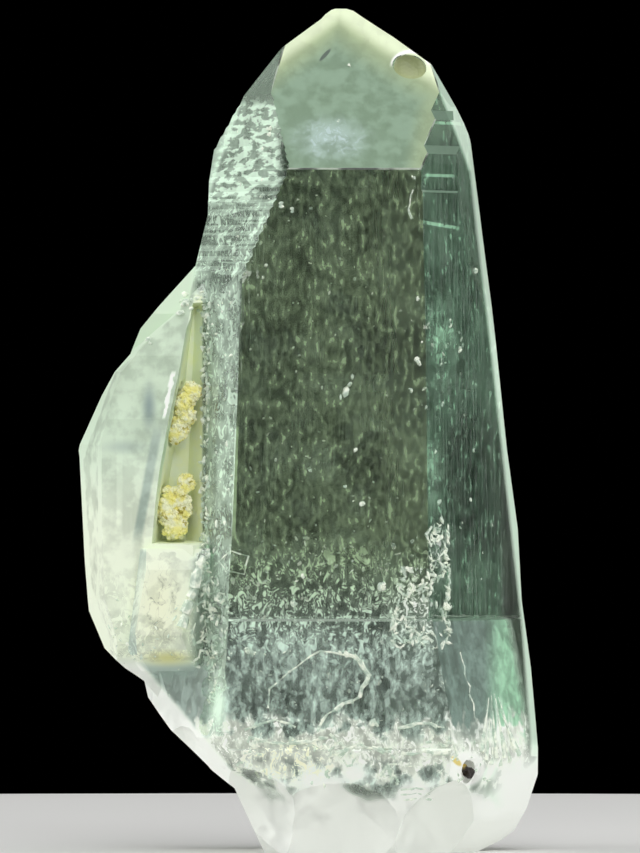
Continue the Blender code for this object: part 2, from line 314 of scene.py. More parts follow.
def finish_quartz(paint, film, film_colour, roughness, streaks):
    """Glass with a matt film over a share of it, a faint ripple, and the stone's own cast inside."""
    matt_film = paint.node(
        "ShaderNodeBsdfPrincipled",
        {},
        {"Base Color": film_colour, "Roughness": 0.5, "IOR": QUARTZ_IOR},
    )
    ripple = paint.node(
        "ShaderNodeBump", {}, {"Strength": 0.25, "Distance": 0.04 * MM, "Height": streaks}
    )
    glass = paint.node(
        "ShaderNodeBsdfPrincipled",
        {},
        {
            "Base Color": (1.0, 1.0, 1.0, 1.0),
            "Roughness": roughness,
            "IOR": QUARTZ_IOR,
            "Transmission Weight": 1.0,
            "Normal": ripple,
        },
    )
    surface = paint.node("ShaderNodeMixShader", {}, {0: film, 1: glass, 2: matt_film})
    cast = paint.node("ShaderNodeVolumeAbsorption", {}, {"Color": CAST, "Density": CAST_PER_METRE})
    paint.node("ShaderNodeOutputMaterial", {}, {"Surface": surface, "Volume": cast})


# %% Grain of several sizes
quartz_finish, paint = new_finish("clear_quartz")
point = point_mm(paint)
x, y, z = point.parts()
aside, outward, upward = paint.node("ShaderNodeNewGeometry", out="True Normal").parts()
near = y.rise(0.5, -0.5)
facing_front = outward.rise(-0.9, -0.96)
facing_right = aside.rise(0.74, 0.82)
strokes = grain(point, 2.0, (2.0, 2.0, 1.0), 3.0)
fine_strokes = strokes.rise(0.35, 0.65)
flecked = strokes.rise(0.59, 0.69)
streaks = grain(point, 2.2, (2.2, 2.2, 0.16), 1.0).rise(0.4, 0.7)
dashes = grain(point, 1.45, (0.8, 0.8, 2.3)).rise(0.46, 0.55)
cloud = grain(point, 0.42).rise(0.35, 0.65)
mottle = grain(point, 1.3, detail=3.0).rise(0.38, 0.62)
froth = grain(point, 2.2, (1.0, 1.0, 0.75), bend=1.0)
veins = abs(froth - 0.47).rise(0.035, 0.0)
curls = froth.rise(0.56, 0.64).most(veins * strokes.rise(0.42, 0.56))
tell_nodes("grain", paint)

# %% [markdown]
# ### The point
# The large sloping face is evenly frosted. Along its two upper edges, where light gathers, a
# yellow-green glow and a bright line are painted into its film. Bluish wisps float low in it, a short
# dark slit leans across it near the top, and a shallow chip on its right shoulder shows a tan hollow
# with a bright lip, which is a painted highlight along its upper rim.

# %% The film on the point
TIP_EDGE = 32.3
TIP_SLOPE = 0.787
POINT_ACROSS, POINT_UP = 1.52, 39.95
sloping = abs(upward).rise(0.35, 0.5)
above_edge = z.rise(TIP_EDGE - 0.02, TIP_EDGE + 0.02)
at_tip = sloping * above_edge * abs(aside).rise(0.4, 0.3)
left_gap = beside(x, z, (-1.19, 38.0), (POINT_ACROSS, POINT_UP))
right_gap = beside(x, z, (POINT_ACROSS, POINT_UP), (6.0, 36.9))
low_gap = beside(x, z, (6.2, 37.0), (5.3, 32.3))
# Painted glow and a painted bright line along the point's two upper edges.
edge_glow = left_gap.rise(1.7, 0.0).most(right_gap.rise(2.0, 0.0))
edge_glow = edge_glow.most(0.5 * low_gap.rise(1.0, 0.0)) * at_tip
edge_light = left_gap.rise(0.7, 0.0).most(right_gap.rise(0.8, 0.0)) * at_tip
wisps = oval(point, 1.1, 33.7, 2.5, 1.5) * (0.3 + 0.4 * mottle + 0.6 * curls) * at_tip
slit = oval(point, 0.81, 37.76, 0.13, 0.55, -42.0) * near
sunk = (y + 6.2 - (z - TIP_EDGE) * TIP_SLOPE).rise(0.02, 0.1)
hollow = oval(point, 4.87, 37.2, 0.95, 0.85).rise(0.0, 0.1) * sunk * near
# The chip's bright lip is a painted highlight, on the upper half of its rim only.
painted_lip_highlight = within(oval(point, 4.87, 37.2, 1.25, 1.05), 0.12, 0.34, 0.05) * z.rise(37.1, 37.5) * at_tip
film_tip = (0.78 + 0.14 * mottle) * at_tip + 0.1 * wisps + 0.9 * hollow + 0.2 * painted_lip_highlight
tell_nodes("point", paint)

# %% [markdown]
# ### The flanks
# High on the left flank the growth ledges are so close that they read as bright dashes, and lower
# down they dissolve into curled flecks. The right flank is darker, with faint upright streaks, a few
# bright steps and one very dark patch. A thin rim of painted light runs along each outer edge.

# %% The film on the left flank
FACE_LEFT = -3.9
face = facing_front * within(x, FACE_LEFT, 7.4)
left_flank = x.rise(-1.0, -1.6) * z.rise(26.8, 27.4) * near * (1 - at_tip) * (1 - face)
above_hatch = z.rise(35.2, 35.8)
smooth_spot = oval(point, -1.9, 31.2, 1.1, 0.8)
film_hatch = z.rise(30.2, 31.2) * (0.26 + 0.14 * mottle + 0.55 * dashes) * (1 - 0.6 * smooth_spot)
film_hatch = film_hatch * (1 - above_hatch) + 0.2 * above_hatch
film_tangle = z.rise(31.2, 30.2) * (0.18 + 0.3 * cloud * mottle + 0.5 * curls)
strip = within(x, -4.95, -3.2) * within(z, BREAK, 27.0) * near * (1 - face)
pale_line = stripe(beside(x, z, (-3.5, 15.0), (-3.35, 20.2)), 0.0, 0.13) * within(z, 15.0, 20.2, 0.3)
film_strip = strip * (0.1 + 0.2 * cloud + 0.22 * mottle + 0.4 * curls) + 0.4 * pale_line * near
film_left = left_flank * (film_hatch + film_tangle) + film_strip
tell_nodes("left flank", paint)

# %% The film on the right flank
right_flank = facing_right * z.rise(4.5, 5.5) * near
dark_patch = oval(point, 7.9, 17.4, 2.6, 4.8).rise(0.0, 0.35)
pale_patch = oval(point, 6.1, 17.6, 0.9, 3.4, 14.0).most(oval(point, 6.2, 24.0, 1.2, 3.0))
film_right = 0.04 + 0.05 * streaks + 0.06 * cloud
film_right = film_right + pale_patch * (0.06 + 0.24 * mottle + 0.3 * curls)
film_right = film_right * (1 - 0.8 * dark_patch) + 0.09 * mottle * fine_strokes + 0.24 * flecked
steps = (
    stripe(z, 34.5, 0.1) * within(x, 6.0, 7.3)
    + stripe(z, 32.0, 0.1) * within(x, 5.5, 6.9)
    + stripe(z + 0.15 * x, 30.6, 0.12) * within(x, 5.4, 7.1)
)
right_ledges = sloping * x.rise(5.2, 5.6) * near * (1 - at_tip)
film_right = right_flank * film_right + 0.5 * steps * near * froth.rise(0.3, 0.5) + 0.75 * right_ledges
tell_nodes("right flank", paint)

# %% The painted bright rims
LEFT_CONTOUR = (
    (-9.6, 9.6),
    (-10.5, 12.5),
    (-10.95, 18.6),
    (-9.4, 22.8),
    (-5.9, 26.2),
    (-4.7, 32.0),
    (-3.5, 35.3),
)
RIGHT_CONTOUR = ((5.9, 37.8), (8.05, 32.3), (10.5, 11.0), (11.0, 4.5))
# Painted light: a bright band of film just inside each outer outline.
painted_rim_light = 0.0
for start, end in zip(LEFT_CONTOUR, LEFT_CONTOUR[1:]):
    painted_rim_light = painted_rim_light + 0.7 * beside(x, z, start, end).rise(0.34, 0.14) * within(z, start[1], end[1], 0.05)
for start, end in zip(RIGHT_CONTOUR, RIGHT_CONTOUR[1:]):
    painted_rim_light = painted_rim_light + beside(x, z, start, end).rise(0.48, 0.24) * within(z, end[1], start[1], 0.05)
tell_nodes("rims", paint)

# %% [markdown]
# ### The front face
# The broad face is the clearest part, so the dark behind shows through. A dull olive haze with fine
# crooked flecks lies over it, and they thicken into a bluish tangle below the middle.

# %% The film on the front face
TIER = 11.1
fleck_band = within(z, 9.8, 14.0, 1.6) * face
film_face = face * (0.02 + 0.13 * fine_strokes + 0.06 * cloud + 0.22 * flecked)
bruise_zone = oval(point, 5.2, 11.5, 1.9, 2.4).most(oval(point, 6.2, 14.2, 0.8, 2.3)) * near
film_face = film_face + (fleck_band + 0.6 * bruise_zone) * (0.03 + 0.65 * curls)
low_face = z.rise(11.4, 9.6) * face
dark_low = oval(point, 4.3, 7.1, 2.8, 1.2)
film_low = 0.04 + 0.1 * cloud * mottle + 0.16 * curls + 0.15 * fine_strokes
film_low = low_face * film_low * (1 - 0.6 * dark_low)
tier_ledge = sloping * within(z, TIER - 0.2, TIER + 0.05, 0.02) * within(x, FACE_LEFT, 5.4) * near
below_tier = z.rise(11.2, 10.9) * right_flank
film_tier = below_tier * (0.26 + 0.2 * cloud + 0.22 * mottle + 0.2 * curls)
film_low = film_low + 0.25 * tier_ledge + film_tier
tell_nodes("front face", paint)

# %% [markdown]
# ### The short crystal and the groove
# The short crystal is milky all through, with a grey smudge beside the groove and a cream zone below
# the crust. The groove's walls and floor carry a pale yellow stain from the crust, painted paler than
# the stain so as to stand in for light in the shaded groove, and a white line runs along its left edge.

# %% The film on the short crystal
short = x.rise(-5.0, -5.7) * z.rise(8.0, 9.0)
facet_lines = stripe(x, -9.83, 0.12) * within(z, 14.5, 19.3)
facet_lines = facet_lines + 0.4 * stripe(x, -8.9, 0.2) * within(z, 15.4, 19.6)
cream = oval(point, -7.0, 11.8, 1.9, 3.3) * near
film_short = 0.64 + 0.16 * cloud + 0.2 * mottle + 0.5 * z.rise(14.5, 10.0) * curls
film_short = short * (film_short * (1 - 0.5 * cream) + 0.3 * facet_lines)
smudge = oval(point, -7.5, 21.1, 0.5, 1.6).most(0.5 * oval(point, -8.6, 19.2, 1.6, 0.5)) * near
# Painted shade on the faces of the block below the crust that turn to the left.
block_side_painted_shade = aside.rise(-0.75, -0.8) * within(x, -8.5, -7.5, 0.1) * within(z, 9.2, 14.4, 0.2)
tell_nodes("short crystal", paint)

# %% The film in the groove
GROOVE_FOOT = 14.3
groove_edge = beside(x, z, (-7.6, GROOVE_FOOT), (-5.9, 23.5))
groove = groove_edge.rise(-0.1, 0.1) * x.rise(-4.9, -5.05)
groove = groove * y.rise(-4.3, -4.0) * within(z, GROOVE_FOOT, 26.4, 0.3)
seat = within(z + 0.5 * mottle, 14.5, 15.3, 0.25) * within(x, -7.6, -4.9, 0.3) * near
groove_line = stripe(beside(x, z, (-6.8, 20.5), (-6.35, 22.8)) + 0.25 * froth, 0.12, 0.13)
groove_line = groove_line * within(z, 20.6, 22.7, 0.15) * near
groove_shade = stripe(groove_edge, -0.55, 0.3) * within(z, 15.0, 20.0, 0.6) * near
# Painted shadow: a darker yellow band along the cream zone's lower lip.
cream_lip_painted_shadow = oval(point, -6.6, 9.25, 1.7, 0.55) * near
# Pale groove film: the crust's stain, made paler as painted light where the groove lies in shade.
film_groove = 0.9 * groove.most(groove_line).most(seat)
film_groove = film_groove + cream * (0.2 + 0.2 * cloud + 0.35 * mottle - 0.45 * veins)
tell_nodes("groove", paint)

# %% [markdown]
# ### The broken foot
# The foot is frosted almost white, with darker gaps and yellowish curls just above it. A wide bright
# band follows its lower left outline, and a white corner closes the right.

# %% The film on the foot
foot = (z - 1.8 * cloud).rise(3.4, 1.8)
clear_gap = oval(point, 7.7, 5.9, 1.4, 1.0)
above_foot = within(z + 1.2 * mottle, 4.3, 6.6, 0.5) * near * (1 - 0.8 * clear_gap)
right_corner = x.rise(7.8, 9.6) * z.rise(5.5, 3.5)
film_above = above_foot * (0.14 + 0.22 * x.rise(7.0, 5.5) + 0.2 * mottle + 0.6 * curls)
under_short = z.rise(9.4, 8.6)
left_base = under_short * x.rise(-4.4, -4.9) * near
low_left = beside(x, z, (-8.36, 8.5), (-3.85, 3.4)).rise(-0.75, -0.45)
low_left = low_left * under_short * x.rise(-2.4, -3.4)
dim_base = left_base * (1 - low_left)
white_zone = oval(point, -4.15, 6.9, 0.8, 1.9) * near
# Painted glow beside the needle fan.
fan_glow = oval(point, 9.1, 5.9, 1.0, 1.8) * near * streaks
golden = oval(point, 7.0, 4.4, 0.45, 0.2, -45.0) * near
pocket = oval(point, 7.5, 4.0, 1.3, 1.2).rise(0.0, 0.4) * near
warm = oval(point, -0.9, 4.4, 3.4, 1.6) * curls * near
film_foot = foot * (0.7 + 0.2 * cloud + 0.1 * mottle) + film_above + right_corner + 0.85 * low_left
film_foot = film_foot + dim_base * (0.4 + 0.4 * mottle) + 0.75 * pocket + 0.7 * white_zone
film_foot = film_foot + 0.6 * fan_glow + 0.5 * golden + 0.7 * warm
tell_nodes("foot", paint)

# %% The whole film
BARE_FILM = 0.02
ledges = sloping * (1 - above_edge) * z.rise(TIER + 0.4, TIER + 0.6)
film = BARE_FILM + film_tip + film_left + film_right + film_face + film_low
film = (film + film_short + film_groove + film_foot + 0.75 * painted_rim_light + 0.12 * ledges).clamp()
tell_nodes("whole film", paint)

# %% [markdown]
# ### Colours, polish and the glass
# The film is grey-green on the point, olive on the front face, cream in the groove and near white at
# the foot. Under it the glass has a faint ripple from its growth streaks, and it is rough where it is
# etched. The cast of the stone is a constant absorption, which deepens with the thickness of stone that
# the light passes.

# %% Colours of the film
STAINED = (0.96, 1.0, 0.74)
FROSTED = (0.97, 1.0, 0.94)
white = foot.most(low_left).most(painted_lip_highlight).most(groove_line).most(bruise_zone * curls).most(right_corner)
film_tints = (
    # colour, where
    ((0.18, 0.30, 0.18), at_tip),
    ((0.23, 0.36, 0.24), at_tip * mottle),
    ((0.42, 0.78, 0.51), right_flank * (1 - painted_rim_light.clamp())),
    ((0.18, 0.28, 0.20), right_ledges),
    ((0.20, 0.30, 0.25), below_tier * x.rise(9.4, 8.2)),
    ((0.92, 1.0, 0.80), short * z.rise(23.0, 14.0)),
    ((0.66, 0.80, 0.62), short * z.rise(16.0, 22.0)),
    ((0.30, 0.39, 0.37), smudge),
    # Painted shade beside the groove's left edge and on the block's left-facing faces.
    ((0.50, 0.62, 0.53), groove_shade.most(block_side_painted_shade)),
    ((0.42, 0.53, 0.47), dim_base),
    # Painted glow and painted bright line along the point's upper edges.
    ((0.42, 0.52, 0.26), edge_glow),
    ((0.86, 0.98, 0.66), edge_light),
    ((0.46, 0.60, 0.58), wisps),
    ((0.57, 0.80, 0.45), face * z.rise(10.0, 15.0)),
    ((0.74, 0.95, 0.82), face * z.rise(12.0, 9.0)),
    (STAINED, cream),
    # Painted shadow along the cream zone's lower lip.
    ((0.70, 0.70, 0.30), cream_lip_painted_shadow),
    # Groove and its foot: pale stain, painted paler to stand in for light in the shaded groove.
    ((0.92, 1.0, 0.78), groove.most(seat)),
    ((0.94, 1.0, 0.56), 0.5 * groove * mottle),
    ((0.36, 0.41, 0.20), hollow),
    ((0.06, 0.10, 0.07), slit.rise(0.05, 0.4)),
    ((0.92, 1.0, 0.86), above_foot),
    # White film, which also carries the painted lip highlight and the painted glow by the needle fan.
    (FROSTED, white.most(pocket).most(above_foot * curls).most(fan_glow)),
    ((0.98, 1.0, 0.64), 0.7 * warm.rise(0.0, 0.7)),
    ((0.80, 0.66, 0.20), golden.rise(0.0, 0.5)),
)
film_colour = (0.76, 0.97, 0.78)
for colour, where in film_tints:
    film_colour = tint(paint, film_colour, colour, where)
print("tints in the film:", len(film_tints))

# %% Finishing the clear quartz
POLISH = 0.02
etched = 0.42 * at_tip + 0.35 * foot + 0.35 * left_base + 0.3 * below_tier
etched = etched + 0.25 * right_flank * z.rise(32.0, 33.0)
finish_quartz(paint, film, film_colour, POLISH + etched, streaks)
tell_nodes("clear quartz", paint)

# %% [markdown]
# ### Worn edges and the rear
# The worn edges are patchy white, partly from wear and partly as a painted highlight. The rear of the
# stone is plainer than the front: a light haze with growth streaks, the milky short crystal and the
# frosted foot, and a few flecked patches. One finish for all faces would be truer, but every ray that
# reaches the rear would then pay for the front's hundreds of nodes. The split has a price too: Cycles
# ends an absorption only at a face of the finish by which the ray came in. Light that comes in at the
# rear and leaves at the front is absorbed on its whole way from the lamp, so what is seen right
# through this stone is darker than its cast alone would make it.

# %% Finishing the worn edges
edge_finish, paint = new_finish("quartz_worn_edge_and_highlight")
wear_and_highlight = grain(point_mm(paint), 1.2, detail=3.0).rise(0.4, 0.6)
# Patchy white film on the bevels: partly wear, partly a painted highlight.
finish_quartz(paint, 0.05 + 0.45 * wear_and_highlight, (0.84, 0.98, 0.8, 1.0), 0.35, wear_and_highlight)
tell_nodes("worn edges", paint)

# %% Finishing the rear
rear_finish, paint = new_finish("quartz_rear")
point = point_mm(paint)
x, y, z = point.parts()
streaks = grain(point, 2.2, (2.2, 2.2, 0.16), 1.0).rise(0.4, 0.7)
haze = grain(point, 0.6, detail=3.0).rise(0.4, 0.7)
rear_flecks = grain(point, 2.4, (1.4, 1.4, 1.0), 3.0).rise(0.6, 0.67)
rear_foot = (z - 1.8 * haze).rise(3.4, 1.8)
rear_short = x.rise(-4.6, -6.0) * z.rise(8.0, 9.0)
rear_film = 0.04 + 0.16 * haze + 0.06 * streaks + 0.2 * haze * rear_flecks
rear_film = rear_film + 0.5 * rear_short + (0.6 + 0.2 * haze) * rear_foot
rear_colour = tint(paint, (0.74, 0.95, 0.76), FROSTED, rear_foot)
rear_roughness = 0.16 + 0.2 * x.rise(2.0, 6.0) + 0.1 * haze + 0.1 * rear_foot
finish_quartz(paint, rear_film.clamp(), rear_colour, rear_roughness, streaks)
tell_nodes("rear", paint)

# %% Placing the quartz
finishes = (quartz_finish, edge_finish, rear_finish)
quartz_piece = place_piece("quartz_body", quartz_shape, "clear_quartz", *finishes)
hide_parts("quartz")

# %% [markdown]
# ## Flecks and cracks
# Real quartz holds healed cracks, tiny bubbles and flakes, and they are most of what sparkles. They
# could be painted on the surface, but real ones have depth and shift as the stone turns. So they are
# small closed shapes. Some lie below the face through which they are seen, and the brightest break
# through it and catch the light directly.

# %% Finding the face in front
WELL_IN_FRONT = -30.0
TO_THE_REAR = Vector((0.0, 1.0, 0.0))
SKIN = 0.03


def under_face(across, up, depth):
    """The point a given depth below the face that is seen there from the front, if there is one."""
    start = Vector((across, WELL_IN_FRONT, up))
    spot, outward_way, _, _ = surface_tree.ray_cast(start, TO_THE_REAR)
    return spot - outward_way * depth if spot else None


def under_line(corners, depth, step, wobble, rng):
    """Points below the face along a row of (across, up) corners, each pushed about a little."""
    points = []
    for (x0, z0), (x1, z1) in zip(corners, corners[1:]):
        count = max(1, round(math.hypot(x1 - x0, z1 - z0) / step))
        for k in range(count):
            share = k / count
            across = x0 + (x1 - x0) * share + rng.uniform(-wobble, wobble)
            up = z0 + (z1 - z0) * share + rng.uniform(-wobble, wobble)
            points.append(under_face(across, up, depth))
    points.append(under_face(*corners[-1], depth))
    return [spot for spot in points if spot]


front_spot = under_face(0.0, 20.0, 0.0)
print("the front face lies at y =", round(front_spot.y, 2), "mm")


# %% Shaping flakes and threads
def flake(bm, middle, sizes, rng):
    """A small faceted flake, turned at random."""
    turn = Matrix.Rotation(rng.uniform(0, math.tau), 4, Vector((rng.gauss(0, 1), rng.gauss(0, 1), 1.0)))
    place = Matrix.Translation(middle) @ turn @ Matrix.Diagonal((*sizes, 1.0))
    bmesh.ops.create_icosphere(bm, subdivisions=1, radius=1.0, matrix=place)


def rod(bm, start, end, first_radius, last_radius):
    """A six-sided rod between two points, a little longer than their distance."""
    way = end - start
    bmesh.ops.create_cone(
        bm,
        cap_ends=True,
        segments=6,
        radius1=first_radius,
        radius2=last_radius,
        depth=way.length + first_radius,
        matrix=Matrix.Translation((start + end) / 2) @ way.to_track_quat("Z", "Y").to_matrix().to_4x4(),
    )


def thread(bm, points, radius, rng):
    """Rough rods along a row of points, thicker in some places than in others."""
    for start, end in zip(points, points[1:]):
        rod(bm, start, end, radius * rng.uniform(0.4, 1.6), radius * rng.uniform(0.4, 1.6))


# %% [markdown]
# ### The healed cracks' finish
# A healed crack is a skin of tiny gaps that throws light back, pale green-white with some sparkle. A
# mirror would sparkle more but shows mostly dark, so a half glossy pale surface is used.

# %% Healed cracks
crack_finish, paint = new_finish("healed_crack")
patchy = grain(point_mm(paint), 2.5).rise(0.35, 0.65)
crack = paint.node(
    "ShaderNodeBsdfPrincipled",
    {},
    {
        "Base Color": tint(paint, (0.72, 0.88, 0.74), (0.95, 1.0, 0.86), patchy),
        "Roughness": 0.2 + 0.3 * patchy,
        "Alpha": 0.6 + 0.4 * patchy,
    },
)
paint.node("ShaderNodeOutputMaterial", {}, {"Surface": crack})
tell_nodes("healed crack", paint)

# %% [markdown]
# ### Flecks
# Hundreds of flecks are strewn through the stone, small and sparse in the clear face, larger and
# denser in the band below its middle and towards the foot. A few large ones are placed one by one.

# %% Strewn flecks
FLECK_FIELDS = (
    # left, right, low, high, how many, smallest, largest, deepest
    (-2.8, 5.2, 14.5, 31.5, 90, 0.03, 0.07, 1.5),
    (-3.4, 5.6, 9.4, 15.0, 170, 0.04, 0.12, 0.6),
    (-3.8, 6.6, 5.2, 9.4, 70, 0.04, 0.1, 1.0),
    (-3.4, 8.5, 3.2, 5.6, 80, 0.05, 0.16, 0.2),
    (5.3, 7.4, 20.5, 25.5, 34, 0.04, 0.1, 0.3),
    (6.0, 9.0, 12.0, 20.0, 16, 0.03, 0.07, 0.8),
    (-4.8, -3.5, 9.0, 26.5, 90, 0.05, 0.13, 0.1),
    (-9.8, -6.0, 8.6, 12.0, 50, 0.05, 0.14, 0.1),
    (-4.0, -1.8, 27.0, 35.0, 60, 0.04, 0.11, 0.1),
    (-5.05, -4.65, 10.0, 26.6, 230, 0.06, 0.17, 0.05),
    (-4.75, -4.3, 7.2, 11.9, 50, 0.06, 0.15, 0.05),
)
rng = random.Random(5)
flecks = bmesh.new()
for left, right, low, high, count, least, largest, deepest in FLECK_FIELDS:
    for _ in range(count):
        middle = under_face(rng.uniform(left, right), rng.uniform(low, high), rng.uniform(0.0, deepest))
        size = rng.uniform(least, largest)
        if middle:
            flake(flecks, middle, (size, size * 0.4, size * rng.uniform(1.0, 2.0)), rng)
print("corners of strewn flecks:", len(flecks.verts))

# %% Flecks placed one by one
LARGE_FLECKS = (
    # across, up, size
    (2.57, 16.5, 0.15),
    (1.76, 17.3, 0.12),
    (0.1, 18.1, 0.12),
    (3.42, 12.6, 0.33),
    (-0.71, 11.8, 0.2),
    (-0.24, 13.1, 0.15),
    (8.0, 27.5, 0.2),
    (5.13, 23.3, 0.27),
    (7.17, 23.8, 0.18),
    (6.7, 24.9, 0.14),
    (-2.76, 9.64, 0.26),
    (-2.55, 9.55, 0.24),
    (3.04, 6.27, 0.34),
    (-7.46, 24.2, 0.2),
    (4.94, 31.9, 0.15),
    (2.0, 37.3, 0.15),
    (2.23, 19.05, 0.12),
    (4.85, 21.9, 0.15),
    (6.35, 21.2, 0.15),
    (6.03, 18.97, 0.14),
    (6.1, 16.67, 0.24),
    (7.7, 16.75, 0.17),
    (7.85, 19.05, 0.12),
    (5.17, 26.2, 0.16),
    (-1.2, 30.6, 0.2),
    (-0.7, 30.35, 0.15),
    (1.43, 34.6, 0.09),
    (-1.8, 34.1, 0.3),
)
LARGEST_FLECK = ((1.78, 21.8, 0.22), (1.98, 22.15, 0.15), (2.1, 22.5, 0.1), (1.55, 21.55, 0.12))
for across, up, size in LARGE_FLECKS:
    for _ in range(3):
        to_side, to_top = rng.uniform(-0.5, 0.5) * size, rng.uniform(-0.5, 0.5) * size
        middle = under_face(across + to_side, up + to_top, 0.02)
        part = size * rng.uniform(0.45, 0.85)
        flake(flecks, middle, (part, part * 0.5, part * rng.uniform(0.6, 1.2)), rng)
for across, up, size in LARGEST_FLECK:
    flake(flecks, under_face(across, up, SKIN), (size, size * 0.5, size * 1.4), rng)
place_piece("flecks", flecks, "clear_quartz", crack_finish)

# %% [markdown]
# ### The crack loop
# Low in the front face a healed crack shows as a thin bright line that nearly closes on itself,
# with one thick bright spot. A bevelled curve would be smooth as wire, so rough rods are used.

# %% Crack loop
LOOP = (
    (-1.9, 6.9),
    (-1.76, 7.8),
    (-0.57, 8.84),
    (0.52, 9.6),
    (1.57, 9.45),
    (2.19, 9.4),
    (2.9, 8.46),
    (2.42, 7.5),
    (0.95, 6.65),
    (0.48, 5.84),
)
rng = random.Random(6)
loop = bmesh.new()
thread(loop, under_line(LOOP[:5], SKIN, 0.45, 0.05, rng), 0.045, rng)
thread(loop, under_line(LOOP[4:], 0.02, 0.4, 0.06, rng), 0.09, rng)
for across, up, size in ((1.5, 9.5, 0.15), (1.8, 9.45, 0.22), (2.05, 9.35, 0.14), (2.8, 8.3, 0.13)):
    flake(loop, under_face(across, up, SKIN), (size, size * 0.6, size * 0.8), rng)
place_piece("crack_loop", loop, "clear_quartz", crack_finish)

# %% [markdown]
# ### The bruised edge
# Where the front face meets the right flank, low down, the edge is bruised into a knot of curled
# cracks. Each curl is a crooked hook of rods around a small oval. The arcs round the knot are uneven
# lumps in a row, because rods alone would read as string, and flakes fill the space between.

# %% One curl
CURL_THICKNESS = 0.07


def curl(bm, across, up, radius, rng):
    """A crooked hook of rods at the face."""
    count = rng.choice((3, 4, 5))
    first = rng.uniform(0, math.tau)
    tall = rng.uniform(0.7, 1.8)
    sweep = rng.uniform(0.35, 0.8) * math.tau
    points = []
    for k in range(count + 1):
        angle = first + sweep * k / count
        reach = radius * rng.uniform(0.75, 1.25)
        to_side, to_top = reach * math.cos(angle), reach * tall * math.sin(angle)
        points.append(under_face(across + to_side, up + to_top, SKIN))
    thread(bm, [spot for spot in points if spot], CURL_THICKNESS, rng)


# %% The knot of curled cracks
rng = random.Random(7)
bruise = bmesh.new()
for _ in range(8):
    curl(bruise, rng.uniform(4.2, 6.5), rng.uniform(9.9, 12.9), rng.uniform(0.2, 0.45), rng)
for _ in range(5):
    curl(bruise, rng.uniform(5.6, 6.5), rng.uniform(12.8, 15.9), rng.uniform(0.15, 0.32), rng)
for _ in range(90):
    size = rng.uniform(0.05, 0.22)
    middle = under_face(rng.uniform(4.2, 6.7), rng.uniform(9.9, 13.6), SKIN)
    flake(bruise, middle, (size * 0.6, size * 0.4, size * rng.uniform(1.0, 2.2)), rng)
BRUISE_ARCS = (
    ((4.1, 10.1), (4.0, 11.0), (4.3, 11.9), (5.1, 12.6), (6.0, 12.9), (6.5, 13.3)),
    ((5.9, 13.0), (5.75, 14.2), (5.95, 15.2), (6.3, 15.8)),
    ((6.6, 15.4), (6.45, 14.1), (6.7, 12.8), (6.4, 11.4), (6.6, 10.4), (6.3, 9.7)),
)
for arc in BRUISE_ARCS:
    for spot in under_line(arc, 0.0, 0.11, 0.07, rng):
        size = rng.uniform(0.05, 0.17)
        flake(bruise, spot, (size * 0.6, size * 0.5, size * rng.uniform(1.2, 2.4)), rng)
place_piece("bruised_edge", bruise, "clear_quartz", crack_finish)

# %% [markdown]
# ### Needles and foot lines
# A fan of needle cracks opens downward at the right, and crooked lines step across the foot. Beside
# the lower end of the seam between the two crystals lie a few hooks of broken stone. All are rods and
# flakes as before, tapered for the needles, and they share one piece because they share one finish.

# %% Needle fan
rng = random.Random(8)
cracks = bmesh.new()
FAN_TOP = (8.7, 7.6)
FAN_FEET = (
    (8.2, 4.8),
    (8.4, 4.4),
    (8.65, 4.2),
    (8.9, 4.5),
    (9.1, 4.1),
    (9.3, 4.5),
    (9.55, 4.3),
    (9.75, 4.9),
    (10.0, 4.6),
)
for across, up in FAN_FEET:
    start = (FAN_TOP[0] + 0.3 * (across - FAN_TOP[0]), FAN_TOP[1] - rng.uniform(0, 1.3))
    rod(cracks, under_face(*start, SKIN), under_face(across, up, SKIN), 0.05, 0.17)
print("needles:", len(FAN_FEET))

# %% Lines across the foot and beside the seam
LINES = (
    # corners, thickness
    (((7.2, 9.5), (7.6, 7.9), (7.9, 6.4)), 0.05),
    (((1.4, 4.85), (2.4, 5.15), (3.9, 4.85)), 0.09),
    (((4.5, 4.75), (5.6, 4.85), (6.9, 4.8)), 0.09),
    (((-2.9, 5.9), (-1.5, 6.3), (-0.6, 6.0)), 0.07),
    (((-2.4, 5.4), (-0.9, 5.2), (0.9, 5.5)), 0.08),
    (((4.2, 5.9), (5.4, 6.2), (6.4, 6.0)), 0.08),
    (((-5.0, 14.0), (-5.4, 12.4), (-5.9, 10.8)), 0.19),
    (((4.85, 30.0), (4.75, 30.6), (4.95, 31.3)), 0.05),
)
for corners, thickness in LINES:
    thread(cracks, under_line(corners, SKIN, 0.35, 0.07, rng), thickness, rng)
for _ in range(12):
    curl(cracks, rng.uniform(-5.2, -3.8), rng.uniform(8.4, 12.8), rng.uniform(0.15, 0.32), rng)
for _ in range(18):
    curl(cracks, rng.uniform(-3.2, 6.8), rng.uniform(3.4, 5.6), rng.uniform(0.12, 0.35), rng)
for _ in range(14):
    size = rng.uniform(0.12, 0.26)
    middle = under_face(rng.uniform(-6.1, -5.1), rng.uniform(25.5, 26.6), SKIN)
    flake(cracks, middle, (size, size * 0.6, size), rng)
for up in (2.55, 2.8, 3.05):
    dash = under_line(((4.4, up), (5.1, up + 0.08), (5.8, up)), SKIN, 0.25, 0.02, rng)
    thread(cracks, dash, 0.05, rng)
place_piece("cracks", cracks, "clear_quartz", crack_finish)

# %% [markdown]
# ### A square inclusion
# At the left of the broad face, where its flecks thicken, a small flat crystal is enclosed. Only its
# pale outline shows, so a thread of rods draws the outline and nothing fills it.

